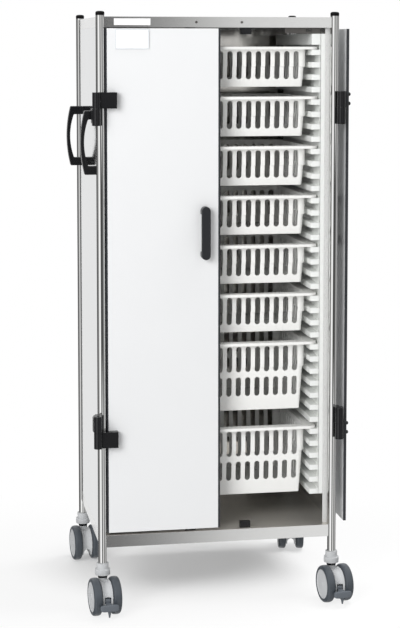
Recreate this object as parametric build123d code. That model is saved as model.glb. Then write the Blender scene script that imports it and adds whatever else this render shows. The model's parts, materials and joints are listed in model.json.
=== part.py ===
from build123d import *
import os

# Two-door cabinet trolley for 600 x 400 mm modular baskets, millimetres, +Z up, front towards -Y.
# Everything is first placed about the middle of the four posts on the floor. The last step moves the
# whole object so that the origin is the bottom centre of its box, with the doors as they rest.

# ---- overall ----
POST_SPACING_X = 682.0
POST_SPACING_Y = 538.0
HEIGHT = 1733.0
POST_RADIUS = 12.5
POST_WALL = 1.5
HALF_X = POST_SPACING_X / 2
HALF_Y = POST_SPACING_Y / 2

# ---- trays, panels ----
SHEET = 2.0
SKIN_OUT = 6.0  # outer faces stand this far outside the lines through the post axes
TOP_TRAY = (1687.0, 1717.0)
BOTTOM_TRAY = (189.0, 224.0)
TRAY_LIP = 18.0
PANEL_END_GAP = 12.4

# ---- liners and baskets ----
INNER_FRONT = 18.0  # fronts of liners and baskets, behind the front post line
RIB_PITCH = 36.0
RIB_HEIGHT = 16.0
RIB_COUNT = 37
RIB_TOP = 1624.0
RIB_TIP_X = 278.0
LINER_WALL_X = 303.5
LINER_WALL = 3.0
LINER_DEPTH = 476.0
LINER_HEAD = (1638.0, 1670.0)
LINER_FRONT_X = 318.0  # outer edge of the liner's front upright, where the jamb begins
JAMB_OUTER_X = 332.0
JAMB_FOLD = 20.0
FLANGE_X = 598.0
FLANGE_Y = 398.0
FLANGE_HEIGHT = 8.0
FLANGE_SHEET = 3.0
FLANGE_CORNER = 22.0
RIB_GAP = 0.5
BODY_X = 538.0
BODY_Y = 338.0
BODY_CORNER = 16.0
BODY_STEP = 4.0
BASKET_WALL = 3.0
SLOT_PITCH = 28.1
SLOT_WIDTH = 15.6
SLOTS_FRONT = 18
SLOTS_SIDE = 11
SHALLOW = {"height": 116.0, "step": 58.0, "draft": 5.0, "slots": [(13.0, 94.0)]}
DEEP = {"height": 206.0, "step": 78.0, "draft": 4.0, "slots": [(15.0, 91.0), (107.0, 164.0)]}
# each basket hangs on one rib, counted from the top of the liner
BASKETS = [
    (0, SHALLOW),
    (4, SHALLOW),
    (8, SHALLOW),
    (12, SHALLOW),
    (16, SHALLOW),
    (20, SHALLOW),
    (24, DEEP),
    (31, DEEP),
]

# ---- doors ----
DOOR_Z = (232.0, 1684.0)
DOOR_THICK = 8.0
DOOR_START = 13.5  # hinge-side edge, inward of the post axis
EDGE_TRIM = 5.0
LEFT_DOOR_END = -2.0
ASTRAGAL = 6.0
RIGHT_DOOR_END = 6.0
DOOR_OUTER_Y = -HALF_Y - SKIN_OUT
DOOR_INNER_Y = DOOR_OUTER_Y + DOOR_THICK
RIGHT_DOOR_OPEN = 270.0

# ---- hinges, measured outward and forward of the front post axis ----
PIVOT_OUT = 14.0
PIVOT_FRONT = 28.0
BARREL_RADIUS = 12.0
PIN_RADIUS = 4.0
RUNNING_GAP = 0.05
LEAF_HEIGHT = 46.0
CLAMP_HEIGHT = 48.0
LEAF_REACH = 44.5
LEAF_STEP_Y = 14.0
CLAMP_OUT = 27.0
CLAMP_BACK = 2.0
CLAMP_FRONT = 18.5
CLAMP_IN = 3.0
CLAMP_CHAMFER = 8.0
KNUCKLE_GAP = 0.5
UPPER_KNUCKLE_Z = 1458.0  # plane between the upper leaf and its clamp
LOWER_KNUCKLE_Z = 532.0
PIN_RECESS = 3.0
BOLT_X = 29.5
BOLT_SPREAD = 27.0
BOLT_RADIUS = 3.0
BOLT_HEAD_RADIUS = 5.5
BOLT_HEAD = 9.0
BOLT_START = 6.0  # front end of a bolt shank, behind the hinge axis

# ---- handles ----
PUSH_Z = (1269.5, 1451.5)
PUSH_REACH = 38.5
PUSH_BELLY = 11.5
PUSH_GRIP = 10.0
PUSH_ARM = 25.0
PUSH_WIDTH = 22.0
PUSH_FRONT_Y = 14.0  # behind the front post axis
PUSH_SPACING = 400.0
PUSH_ROUND = 3.0
PULL_Z = (1022.5, 1176.0)
PULL_REACH = 27.0
PULL_BELLY = 0.6
PULL_GRIP = 10.0
PULL_ARM = 22.0
PULL_WIDTH = 26.0
PULL_FROM_EDGE = 39.5

# ---- small fittings ----
CAP_DOME = 9.5
CAP_RADIUS = 12.9
CAP_PLUG = 16.0
CATCH_X = (66.0, 97.0)
CATCH_Y = (5.0, 20.0)  # behind the front post line
CATCH_HEIGHT = 19.0
BRACKET_X = (198.0, 303.0)
BRACKET_HEIGHT = 16.0
BRACKET_SLOT_X = (260.0, 278.0)
BRACKET_SLOT_RIM = 4.0
LABEL_X = (42.0, 139.0)  # inward of the left front post axis
LABEL_Z = (1625.0, 1682.0)
LABEL_DEPTH = 3.0
LABEL_RIM = 3.0
CARD_EDGE = 3.5
CARD_THICK = 0.5
NAME_X = (39.0, 143.0)
NAME_Z = (1693.0, 1712.0)
NAME_THICK = 1.0
RAIL_SCREW_X = 66.0
SCREW_RADIUS = 3.5
SCREW_HEAD = 2.0

# ---- casters ----
WHEEL_RADIUS = 54.0
WHEEL_WIDTH = 25.0
WHEEL_SPREAD = 57.0
TYRE_INNER = 42.5
TYRE_SHOULDER = 8.0
DISH_OUTER = 34.0
DISH_INNER = 25.0
DISH_DEPTH = 2.0
HUB_RADIUS = 9.0
TRAIL = 28.0
AXLE_RADIUS = 5.0
AXLE_PAST_MIDDLE = 3.5
COLLAR_LOW = (22.0, 110.0, 127.0)  # radius, bottom, top
COLLAR_HIGH = (17.6, 127.0, 144.0)
COLLAR_ROUND = 2.0
POST_SEAT = 130.0
STEM_RADIUS = 6.0
STEM_TOP = 129.0
HOUSING_WIDTH = 30.0
HOUSING_RADIUS = 47.0
HOUSING_FOOT = 20.0
HOUSING_TOP = 109.0
HOUSING_SHOULDER = 96.0
NECK_RADIUS = 14.0
ARCH_RADIUS = 11.5
ARCH_Z = 29.0
PEDAL_WIDTH = 54.0
PEDAL_PAD = (85.5, 99.0)  # back and front of the pad, forward of the swivel axis
PEDAL_PAD_Z = (28.0, 48.0)
PEDAL_ROUND = 6.0
PEDAL_PIVOT = (62.0, 50.0)
PEDAL_PIN = 2.5
PEDAL_EYE = 8.0
PEDAL_ARM = 16.0
PEDAL_SLOT = 18.0
PEDAL_PLAY = 3.0
SWIVEL_YAW = {"front_left": 6.0, "front_right": 7.5, "back_left": 6.0, "back_right": -10.0}
BRAKED = ("front_left", "front_right")


def block(x, y, z):
    """A box between the low and high values of each axis."""
    centre = Pos((x[0] + x[1]) / 2, (y[0] + y[1]) / 2, (z[0] + z[1]) / 2)
    return centre * Box(x[1] - x[0], y[1] - y[0], z[1] - z[0])


def upright(radius, x, y, z):
    """A vertical cylinder between two heights."""
    return Pos(x, y, (z[0] + z[1]) / 2) * Cylinder(radius, z[1] - z[0])


def along_y(radius, x, z, y):
    """A cylinder along Y between two depths."""
    return Pos(x, (y[0] + y[1]) / 2, z) * Rot(90, 0, 0) * Cylinder(radius, y[1] - y[0])


def along_x(radius, y, z, x):
    """A cylinder along X between two sides."""
    return Pos((x[0] + x[1]) / 2, y, z) * Rot(0, 90, 0) * Cylinder(radius, x[1] - x[0])


def both_sides(shape):
    """The shape and its mirror image on the other side of the cabinet."""
    return [shape, mirror(shape, about=Plane.YZ)]


def corners():
    """The four post positions by name."""
    return {
        "front_left": (-HALF_X, -HALF_Y),
        "front_right": (HALF_X, -HALF_Y),
        "back_left": (-HALF_X, HALF_Y),
        "back_right": (HALF_X, HALF_Y),
    }


# ---- frame ----
def post(x, y):
    """A round tube from its caster collar to its cap."""
    height = (POST_SEAT, HEIGHT - CAP_DOME)
    return upright(POST_RADIUS, x, y, height) - upright(POST_RADIUS - POST_WALL, x, y, height)


def post_cap(x, y):
    """A low dome with a plug that fits inside the tube."""
    top = HEIGHT - CAP_DOME
    dome = upright(CAP_RADIUS, x, y, (top, HEIGHT))
    dome = fillet(dome.faces().sort_by(Axis.Z)[-1].edges(), CAP_DOME * 0.7)
    return dome + upright(POST_RADIUS - POST_WALL, x, y, (top - CAP_PLUG, top))


def tray(height):
    """A closed-top folded tray with a deep rim and an inward lip, cut away around the four posts."""
    out_x = HALF_X + SKIN_OUT
    out_y = HALF_Y + SKIN_OUT
    outer = block((-out_x, out_x), (-out_y, out_y), height)
    inside_x = out_x - SHEET
    inside_y = out_y - SHEET
    hollow = (height[0] + SHEET, height[1] - SHEET)
    mouth = (height[0], height[0] + SHEET)
    pan = outer - block((-inside_x, inside_x), (-inside_y, inside_y), hollow)
    lip_x = inside_x - TRAY_LIP
    lip_y = inside_y - TRAY_LIP
    pan -= block((-lip_x, lip_x), (-lip_y, lip_y), mouth)
    for x, y in corners().values():
        pan -= upright(POST_RADIUS, x, y, (height[0] - 1, height[1] + 1))
    return pan


def side_panel():
    """The left outer skin between the two left posts."""
    reach = HALF_Y - PANEL_END_GAP
    face = -HALF_X - SKIN_OUT
    return block((face, face + SHEET), (-reach, reach), (BOTTOM_TRAY[1], TOP_TRAY[0]))


def back_panel():
    """The rear skin between the two back posts."""
    reach = HALF_X - PANEL_END_GAP
    face = HALF_Y + SKIN_OUT
    return block((-reach, reach), (face - SHEET, face), (BOTTOM_TRAY[1], TOP_TRAY[0]))


def rib_top(number):
    """Height of the top of a rib, counted down from the first."""
    return RIB_TOP - number * RIB_PITCH


def liner():
    """The left liner: a wall with a ladder of ribs for the basket flanges, and a flat front upright."""
    front = -HALF_Y + INNER_FRONT
    depth = (front, front + LINER_DEPTH)
    bottom = rib_top(RIB_COUNT - 1) - RIB_HEIGHT
    wall = (-LINER_WALL_X - LINER_WALL, -LINER_WALL_X)
    body = block(wall, depth, (bottom, LINER_HEAD[1]))
    body += block((-LINER_WALL_X, -RIB_TIP_X), depth, LINER_HEAD)
    for number in range(RIB_COUNT):
        top = rib_top(number)
        body += block((-LINER_WALL_X, -RIB_TIP_X), depth, (top - RIB_HEIGHT, top))
    upright_depth = (front, front + LINER_WALL)
    return body + block((-LINER_FRONT_X, -LINER_WALL_X), upright_depth, (bottom, LINER_HEAD[1]))


def jamb():
    """The left steel strip that closes the gap between liner and front post."""
    front = -HALF_Y + INNER_FRONT
    height = (BOTTOM_TRAY[1], TOP_TRAY[0])
    face = block((-JAMB_OUTER_X, -LINER_FRONT_X), (front, front + SHEET), height)
    fold = block((-JAMB_OUTER_X, -JAMB_OUTER_X + SHEET), (front, front + JAMB_FOLD), height)
    return face + fold


def header_bracket():
    """The left plate that stiffens the opening under the top tray, with one slot."""
    front = -HALF_Y + INNER_FRONT
    height = (TOP_TRAY[0] - BRACKET_HEIGHT, TOP_TRAY[0])
    plate = block((-BRACKET_X[1], -BRACKET_X[0]), (front, front + SHEET), height)
    slot_x = (-BRACKET_SLOT_X[1], -BRACKET_SLOT_X[0])
    slot_z = (height[0] + BRACKET_SLOT_RIM, height[1] - BRACKET_SLOT_RIM)
    return plate - block(slot_x, (front, front + SHEET), slot_z)


def catches():
    """Four box-shaped door catches, above and below, either side of the middle."""
    front = -HALF_Y
    depth = (front + CATCH_Y[0], front + CATCH_Y[1])
    below = block(CATCH_X, depth, (BOTTOM_TRAY[1], BOTTOM_TRAY[1] + CATCH_HEIGHT))
    above = block(CATCH_X, depth, (TOP_TRAY[0] - CATCH_HEIGHT, TOP_TRAY[0]))
    return both_sides(below) + both_sides(above)


def rail_screw(x):
    """A low round screw head on the top rail."""
    face = -HALF_Y - SKIN_OUT
    return along_y(SCREW_RADIUS, x, sum(TOP_TRAY) / 2, (face - SCREW_HEAD, face))


def name_plate():
    """A thin blank plate on the top rail."""
    face = -HALF_Y - SKIN_OUT
    span = (-HALF_X + NAME_X[0], -HALF_X + NAME_X[1])
    return block(span, (face - NAME_THICK, face), NAME_Z)


# ---- hinges ----
def pivot():
    """Plan position of the left hinge axis."""
    return -HALF_X - PIVOT_OUT, -HALF_Y - PIVOT_FRONT


def knuckles():
    """Leaf and clamp heights of the two hinges of a door, as (leaf, clamp) pairs."""
    upper_leaf = (UPPER_KNUCKLE_Z + KNUCKLE_GAP, UPPER_KNUCKLE_Z + LEAF_HEIGHT)
    upper_clamp = (UPPER_KNUCKLE_Z - CLAMP_HEIGHT, UPPER_KNUCKLE_Z)
    lower_leaf = (LOWER_KNUCKLE_Z - LEAF_HEIGHT, LOWER_KNUCKLE_Z)
    lower_clamp = (LOWER_KNUCKLE_Z + KNUCKLE_GAP, LOWER_KNUCKLE_Z + CLAMP_HEIGHT)
    return [(upper_leaf, upper_clamp), (lower_leaf, lower_clamp)]


def hinge_clamp(height, free_end):
    """A jaw around the outer side of the left front post with the fixed barrel of the hinge."""
    px, py = pivot()
    x = -HALF_X
    y = -HALF_Y
    jaw = block((x - CLAMP_OUT, x + CLAMP_IN), (y - CLAMP_FRONT, y + CLAMP_BACK), height)
    outer = jaw.edges().filter_by(Axis.Y).group_by(Axis.X)[0]
    jaw = chamfer(outer.sort_by(Axis.Z)[free_end], CLAMP_CHAMFER)
    web = block((px - BARREL_RADIUS, px + BARREL_RADIUS), (py, y - POST_RADIUS), height)
    barrel = upright(BARREL_RADIUS, px, py, height)
    body = jaw + web + barrel
    body -= upright(POST_RADIUS, x, y, (height[0] - 1, height[1] + 1))
    body -= upright(PIN_RADIUS + RUNNING_GAP, px, py, (height[0] - 1, height[1] + 1))
    return body


def hinge_clamps():
    """Both clamps of the left post; the chamfer is on the end away from the leaf."""
    (_, upper), (_, lower) = knuckles()
    return [hinge_clamp(upper, 0), hinge_clamp(lower, -1)]


def hinge_leaf(height):
    """The moving barrel and its plate, bolted to the front of the left door."""
    px, py = pivot()
    start = -HALF_X + DOOR_START
    plate = block((start, -HALF_X + LEAF_REACH), (py, DOOR_OUTER_Y), height)
    neck = block((px, start), (py, py + LEAF_STEP_Y), height)
    leaf = plate + neck + upright(BARREL_RADIUS, px, py, height)
    leaf -= upright(PIN_RADIUS, px, py, (height[0] - 1, height[1] + 1))
    for z in bolt_heights(height):
        leaf -= along_y(BOLT_RADIUS, -HALF_X + BOLT_X, z, (py + BOLT_START, DOOR_OUTER_Y))
    return leaf


def hinge_pins():
    """One steel pin per hinge, fast in the leaf and turning in the clamp."""
    px, py = pivot()
    pins = []
    for leaf, clamp in knuckles():
        low = min(leaf[0], clamp[0]) + PIN_RECESS
        high = max(leaf[1], clamp[1]) - PIN_RECESS
        pins.append(upright(PIN_RADIUS, px, py, (low, high)))
    return pins


def bolt_heights(leaf):
    """Heights of the two bolts of a leaf."""
    middle = (leaf[0] + leaf[1]) / 2
    return [middle - BOLT_SPREAD / 2, middle + BOLT_SPREAD / 2]


def door_bolts():
    """Bolts through the left door into its leaves, with domed heads on the inner face."""
    bolts = []
    x = -HALF_X + BOLT_X
    _, py = pivot()
    for leaf, _ in knuckles():
        for z in bolt_heights(leaf):
            shank = along_y(BOLT_RADIUS, x, z, (py + BOLT_START, DOOR_INNER_Y))
            head = along_y(BOLT_HEAD_RADIUS, x, z, (DOOR_INNER_Y, DOOR_INNER_Y + BOLT_HEAD))
            head = fillet(head.faces().sort_by(Axis.Y)[-1].edges(), BOLT_HEAD_RADIUS * 0.8)
            bolts.append(shank + head)
    return bolts


# ---- doors, built closed on the left ----
def door_panel(end):
    """The flat leaf of a door from its edge trim to the given end."""
    span = (-HALF_X + DOOR_START + EDGE_TRIM, end)
    panel = block(span, (DOOR_OUTER_Y, DOOR_INNER_Y), DOOR_Z)
    for leaf, _ in knuckles():
        for z in bolt_heights(leaf):
            panel -= along_y(BOLT_RADIUS, -HALF_X + BOLT_X, z, (DOOR_OUTER_Y, DOOR_INNER_Y))
    return panel


def hinge_edge_trim():
    """The dark strip over the hinge-side edge."""
    start = -HALF_X + DOOR_START
    return block((start, start + EDGE_TRIM), (DOOR_OUTER_Y, DOOR_INNER_Y), DOOR_Z)


def astragal():
    """The strip on the free edge of the left door that closes the gap to the right door."""
    span = (LEFT_DOOR_END, LEFT_DOOR_END + ASTRAGAL)
    return block(span, (DOOR_OUTER_Y, DOOR_INNER_Y), DOOR_Z)


def bow(reach, belly, grip, arm, height):
    """Side outline of a D-handle: feet at x = 0, grip at x = -reach, bulging by belly at mid height."""
    half = height / 2
    inside = grip - reach
    mouth = half - arm
    lines = [
        ThreePointArc((-reach, half), (-reach - belly, 0), (-reach, -half)),
        Line((-reach, -half), (0, -half)),
        Line((0, -half), (0, -mouth)),
        Line((0, -mouth), (inside, -mouth)),
        ThreePointArc((inside, -mouth), (inside - belly, 0), (inside, mouth)),
        Line((inside, mouth), (0, mouth)),
        Line((0, mouth), (0, half)),
        Line((0, half), (-reach, half)),
    ]
    return make_face(lines)


def grip_edges(handle, reach):
    """The edges of a D-handle on the far side of its grip, for handles whose reach is along -X."""
    return handle.edges().filter_by(lambda edge: edge.center().X < 1 - reach)


def push_handle(y):
    """A moulded D-handle on the left side panel; the front one is cut to fit round its post."""
    face = -HALF_X - SKIN_OUT
    outline = bow(PUSH_REACH, PUSH_BELLY, PUSH_GRIP, PUSH_ARM, PUSH_Z[1] - PUSH_Z[0])
    handle = extrude(Plane.XZ * outline, PUSH_WIDTH / 2, both=True)
    handle = fillet(grip_edges(handle, PUSH_REACH), PUSH_ROUND)
    handle = Pos(face, y, sum(PUSH_Z) / 2) * handle
    return handle - upright(POST_RADIUS, -HALF_X, -HALF_Y, PUSH_Z)


def door_pull(end):
    """A moulded bow pull with round ends, near the free edge of the left door."""
    height = PULL_Z[1] - PULL_Z[0]
    outline = bow(PULL_REACH, PULL_BELLY, PULL_GRIP, PULL_ARM, height)
    pull = extrude(Plane.XZ * outline, PULL_WIDTH / 2, both=True)
    face = SlotOverall(height, PULL_WIDTH, rotation=90)
    pull &= extrude(Plane.YZ * face, PULL_REACH + 2 * PULL_BELLY, both=True)
    return Pos(end - PULL_FROM_EDGE, DOOR_OUTER_Y, sum(PULL_Z) / 2) * Rot(0, 0, 90) * pull


def label_holder():
    """A shallow tray for a card, high on the left door."""
    x = (-HALF_X + LABEL_X[0], -HALF_X + LABEL_X[1])
    holder = block(x, (DOOR_OUTER_Y - LABEL_DEPTH, DOOR_OUTER_Y), LABEL_Z)
    inside_x = (x[0] + LABEL_RIM, x[1] - LABEL_RIM)
    inside_z = (LABEL_Z[0] + LABEL_RIM, LABEL_Z[1] - LABEL_RIM)
    return holder - block(inside_x, (DOOR_OUTER_Y - LABEL_DEPTH, DOOR_OUTER_Y - LABEL_DEPTH / 2), inside_z)


def label_card():
    """The blank card in the holder."""
    x = (-HALF_X + LABEL_X[0] + CARD_EDGE, -HALF_X + LABEL_X[1] - CARD_EDGE)
    back = DOOR_OUTER_Y - LABEL_DEPTH / 2
    return block(x, (back - CARD_THICK, back), (LABEL_Z[0] + CARD_EDGE, LABEL_Z[1] - CARD_EDGE))


def folded_right(shapes):
    """Left-door pieces turned into those of the right door, folded back to its rest angle."""
    px, py = pivot()
    turn = Pos(-px, py, 0) * Rot(0, 0, RIGHT_DOOR_OPEN) * Pos(px, -py, 0)
    return [turn * mirror(shape, about=Plane.YZ) for shape in shapes]


# ---- baskets ----
def rounded_prism(width, depth, corner, top, height, draft=0.0):
    """An upright rounded box hanging down from top, narrowing by the draft angle."""
    outline = RectangleRounded(width, depth, corner)
    return Pos(0, 0, top) * extrude(outline, -height, taper=draft)


def slot_cutters(count, rows, length, spread):
    """Rounded slot prisms along Y through the walls, centred on X, below z = 0."""
    cutters = []
    for top, bottom in rows:
        outline = SlotOverall(bottom - top, SLOT_WIDTH, rotation=90)
        prism = extrude(Plane.XZ * outline, length, both=True)
        for number in range(count):
            x = (number - (count - 1) / 2) * spread
            cutters.append(Pos(x, 0, -(top + bottom) / 2) * prism)
    return cutters


def basket(kind):
    """A slotted basket hanging from a turned-down flange; z = 0 is its rim."""
    step = kind["step"]
    low = kind["height"] - step
    draft = kind["draft"]
    wall = 2 * BASKET_WALL
    flange = rounded_prism(FLANGE_X, FLANGE_Y, FLANGE_CORNER, 0, FLANGE_HEIGHT)
    flange -= rounded_prism(FLANGE_X - wall, FLANGE_Y - wall, FLANGE_CORNER - 3, -FLANGE_SHEET, FLANGE_HEIGHT)
    body = rounded_prism(BODY_X, BODY_Y, BODY_CORNER, 0, step)
    body += rounded_prism(BODY_X - 2 * BODY_STEP, BODY_Y - 2 * BODY_STEP, BODY_CORNER - 2, -step, low, draft)
    shape = flange + body
    inner_x = BODY_X - wall
    inner_y = BODY_Y - wall
    shape -= rounded_prism(inner_x, inner_y, BODY_CORNER - 3, 0, step - BASKET_WALL)
    inner_x -= 2 * BODY_STEP
    inner_y -= 2 * BODY_STEP
    shape -= rounded_prism(inner_x, inner_y, BODY_CORNER - 5, -step + BASKET_WALL, low, draft)
    shape -= slot_cutters(SLOTS_FRONT, kind["slots"], BODY_Y, SLOT_PITCH)
    side_cutters = slot_cutters(SLOTS_SIDE, kind["slots"], BODY_X, SLOT_PITCH)
    shape -= [Rot(0, 0, 90) * cutter for cutter in side_cutters]
    return shape


def placed_basket(rib, shape):
    """The basket on its rib, its flange flush with the liner fronts."""
    y = -HALF_Y + INNER_FRONT + FLANGE_Y / 2
    return Pos(0, y, rib_top(rib) + RIB_GAP + FLANGE_HEIGHT) * shape


# ---- casters, built at the origin with the wheels trailing towards -Y ----
def at_corner(name, shape):
    """A caster piece turned to its resting direction under a post."""
    x, y = corners()[name]
    return Pos(x, y, 0) * Rot(0, 0, SWIVEL_YAW[name]) * shape


def caster_collar():
    """The stepped collar that joins a post to its caster."""
    low_radius, low_bottom, low_top = COLLAR_LOW
    high_radius, _, high_top = COLLAR_HIGH
    low = upright(low_radius, 0, 0, (low_bottom, low_top))
    low = fillet(low.edges().filter_by(GeomType.CIRCLE).sort_by(Axis.Z)[-1], COLLAR_ROUND)
    collar = low + upright(high_radius, 0, 0, (low_top, high_top))
    collar -= upright(POST_RADIUS, 0, 0, (POST_SEAT, high_top))
    collar -= upright(STEM_RADIUS + RUNNING_GAP, 0, 0, (low_bottom, POST_SEAT))
    return collar


def caster_housing(braked):
    """The rounded fork body between the wheels, arched underneath, with the swivel stem."""
    half = HOUSING_WIDTH / 2
    front = -TRAIL - HOUSING_RADIUS
    back = -TRAIL + HOUSING_RADIUS
    body = along_x(HOUSING_RADIUS, -TRAIL, WHEEL_RADIUS, (-half, half))
    body &= block((-half, half), (front, back), (HOUSING_FOOT, HOUSING_TOP))
    body += upright(NECK_RADIUS, 0, 0, (WHEEL_RADIUS, HOUSING_TOP))
    body += block((-half, half), (-TRAIL, 0), (WHEEL_RADIUS, HOUSING_SHOULDER))
    body -= along_y(ARCH_RADIUS, 0, ARCH_Z, (front, back))
    body -= block((-ARCH_RADIUS, ARCH_RADIUS), (front, back), (HOUSING_FOOT, ARCH_Z))
    body -= along_x(AXLE_RADIUS, -TRAIL, WHEEL_RADIUS, (-half, half))
    if braked:
        y, z = -PEDAL_PIVOT[0], PEDAL_PIVOT[1]
        room = PEDAL_EYE + PEDAL_PLAY
        body -= block((-PEDAL_SLOT / 2, PEDAL_SLOT / 2), (front, y + room), (HOUSING_FOOT, z + room))
        body += along_x(PEDAL_PIN, y, z, (-half, half))
    return body + upright(STEM_RADIUS, 0, 0, (HOUSING_TOP, STEM_TOP))


def caster_axle():
    """The steel axle of the wheel pair."""
    reach = WHEEL_SPREAD / 2 + AXLE_PAST_MIDDLE
    return along_x(AXLE_RADIUS, -TRAIL, WHEEL_RADIUS, (-reach, reach))


def caster_discs():
    """The two covered wheel centres, with a shallow dish and a hub on the outer side."""
    half = WHEEL_WIDTH / 2 - 1
    disc = along_x(TYRE_INNER, 0, 0, (-half, half))
    dish = Rot(0, 90, 0) * Cone(DISH_INNER, DISH_OUTER, 2 * DISH_DEPTH)
    disc -= Pos(half, 0, 0) * dish
    disc -= along_x(AXLE_RADIUS + RUNNING_GAP, 0, 0, (-half, AXLE_PAST_MIDDLE + 0.5))
    disc += along_x(HUB_RADIUS, 0, 0, (half - 2 * DISH_DEPTH, half + 1))
    right = Pos(WHEEL_SPREAD / 2, -TRAIL, WHEEL_RADIUS) * disc
    return both_sides(right)


def caster_tyres():
    """The two soft treads with rounded shoulders."""
    half = WHEEL_WIDTH / 2
    tread = along_x(WHEEL_RADIUS, 0, 0, (-half, half))
    tread = fillet(tread.edges().filter_by(GeomType.CIRCLE), TYRE_SHOULDER)
    tread -= along_x(TYRE_INNER, 0, 0, (-half, half))
    right = Pos(WHEEL_SPREAD / 2, -TRAIL, WHEEL_RADIUS) * tread
    return both_sides(right)


def brake_pedal():
    """A pad in front of the wheels on a short arm that turns in the housing."""
    half = PEDAL_WIDTH / 2
    pad = block((-half, half), (-PEDAL_PAD[1], -PEDAL_PAD[0]), PEDAL_PAD_Z)
    pad = fillet(pad.edges().filter_by(Axis.Z), PEDAL_ROUND)
    y, z = -PEDAL_PIVOT[0], PEDAL_PIVOT[1]
    across = (-PEDAL_ARM / 2, PEDAL_ARM / 2)
    arm = block(across, (-PEDAL_PAD[0], y), (sum(PEDAL_PAD_Z) / 2, PEDAL_PAD_Z[1]))
    eye = along_x(PEDAL_EYE, y, z, across)
    return pad + arm + eye - along_x(PEDAL_PIN + RUNNING_GAP, y, z, across)


# ---- assembly ----
def node_shapes():
    """Every node's solids about the middle of the four posts."""
    nodes = {}
    spots = corners()
    nodes["posts_front"] = [post(*spots["front_left"]), post(*spots["front_right"])]
    nodes["posts_back"] = [post(*spots["back_left"]), post(*spots["back_right"])]
    nodes["post_caps"] = [post_cap(x, y) for x, y in spots.values()]
    nodes["top_tray"] = [tray(TOP_TRAY)]
    nodes["bottom_tray"] = [tray(BOTTOM_TRAY)]
    nodes["side_panel_left"], nodes["side_panel_right"] = [[side] for side in both_sides(side_panel())]
    nodes["back_panel"] = [back_panel()]
    nodes["liner_left"], nodes["liner_right"] = [[side] for side in both_sides(liner())]
    nodes["jambs"] = both_sides(jamb())
    nodes["header_brackets"] = both_sides(header_bracket())
    left_clamps = hinge_clamps()
    nodes["hinge_clamps_left"] = left_clamps
    nodes["hinge_clamps_right"] = [mirror(clamp, about=Plane.YZ) for clamp in left_clamps]
    nodes["rail_screws"] = [rail_screw(-RAIL_SCREW_X), rail_screw(RAIL_SCREW_X)]
    nodes["name_plate"] = [name_plate()]
    nodes["push_handle_front"] = [push_handle(-HALF_Y + PUSH_FRONT_Y)]
    nodes["push_handle_back"] = [push_handle(-HALF_Y + PUSH_FRONT_Y + PUSH_SPACING)]
    nodes["door_catches"] = catches()
    nodes["caster_collars"] = [at_corner(name, caster_collar()) for name in spots]

    leaves = [hinge_leaf(leaf) for leaf, _ in knuckles()]
    nodes["door_left_panel"] = [door_panel(LEFT_DOOR_END)]
    nodes["door_left_trim"] = [hinge_edge_trim(), astragal()]
    nodes["door_left_leaves"] = leaves
    nodes["door_left_pins"] = hinge_pins()
    nodes["door_left_bolts"] = door_bolts()
    nodes["door_left_pull"] = [door_pull(LEFT_DOOR_END)]
    nodes["label_holder"] = [label_holder()]
    nodes["label_card"] = [label_card()]

    nodes["door_right_panel"] = folded_right([door_panel(-RIGHT_DOOR_END)])
    nodes["door_right_trim"] = folded_right([hinge_edge_trim()])
    nodes["door_right_leaves"] = folded_right(leaves)
    nodes["door_right_pins"] = folded_right(hinge_pins())
    nodes["door_right_bolts"] = folded_right(door_bolts())
    nodes["door_right_pull"] = folded_right([door_pull(-RIGHT_DOOR_END)])

    shallow = basket(SHALLOW)
    deep = basket(DEEP)
    for number, (rib, kind) in enumerate(BASKETS, start=1):
        shape = shallow if kind is SHALLOW else deep
        nodes[f"basket_{number}"] = [placed_basket(rib, shape)]

    for name in spots:
        nodes[f"caster_{name}_housing"] = [at_corner(name, caster_housing(name in BRAKED))]
        nodes[f"caster_{name}_axle"] = [at_corner(name, caster_axle())]
        nodes[f"caster_{name}_discs"] = [at_corner(name, disc) for disc in caster_discs()]
        nodes[f"caster_{name}_tyres"] = [at_corner(name, tyre) for tyre in caster_tyres()]
    for name in BRAKED:
        nodes[f"pedal_{name}"] = [at_corner(name, brake_pedal())]
    return nodes


def write_nodes(nodes):
    """Move everything so that the origin is the bottom centre of the whole box, and write the files."""
    every_solid = [solid for shapes in nodes.values() for shape in shapes for solid in shape.solids()]
    box = Compound(children=every_solid).bounding_box()
    middle = box.center()
    to_origin = Pos(-middle.X, -middle.Y, -box.min.Z)
    print(f"moved by {-middle.X:.4f} {-middle.Y:.4f} {-box.min.Z:.4f}")
    os.makedirs("parts", exist_ok=True)
    for name, shapes in nodes.items():
        solids = [to_origin * solid for shape in shapes for solid in shape.solids()]
        whole = solids[0] if len(solids) == 1 else Compound(children=solids)
        export_step(whole, f"parts/{name}.step")


write_nodes(node_shapes())
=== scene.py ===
"""Looks of the two-door basket cabinet trolley: materials, finer pieces, studio and camera."""

import json
import math

import bmesh
import bpy
from mathutils import Matrix, Vector


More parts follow.
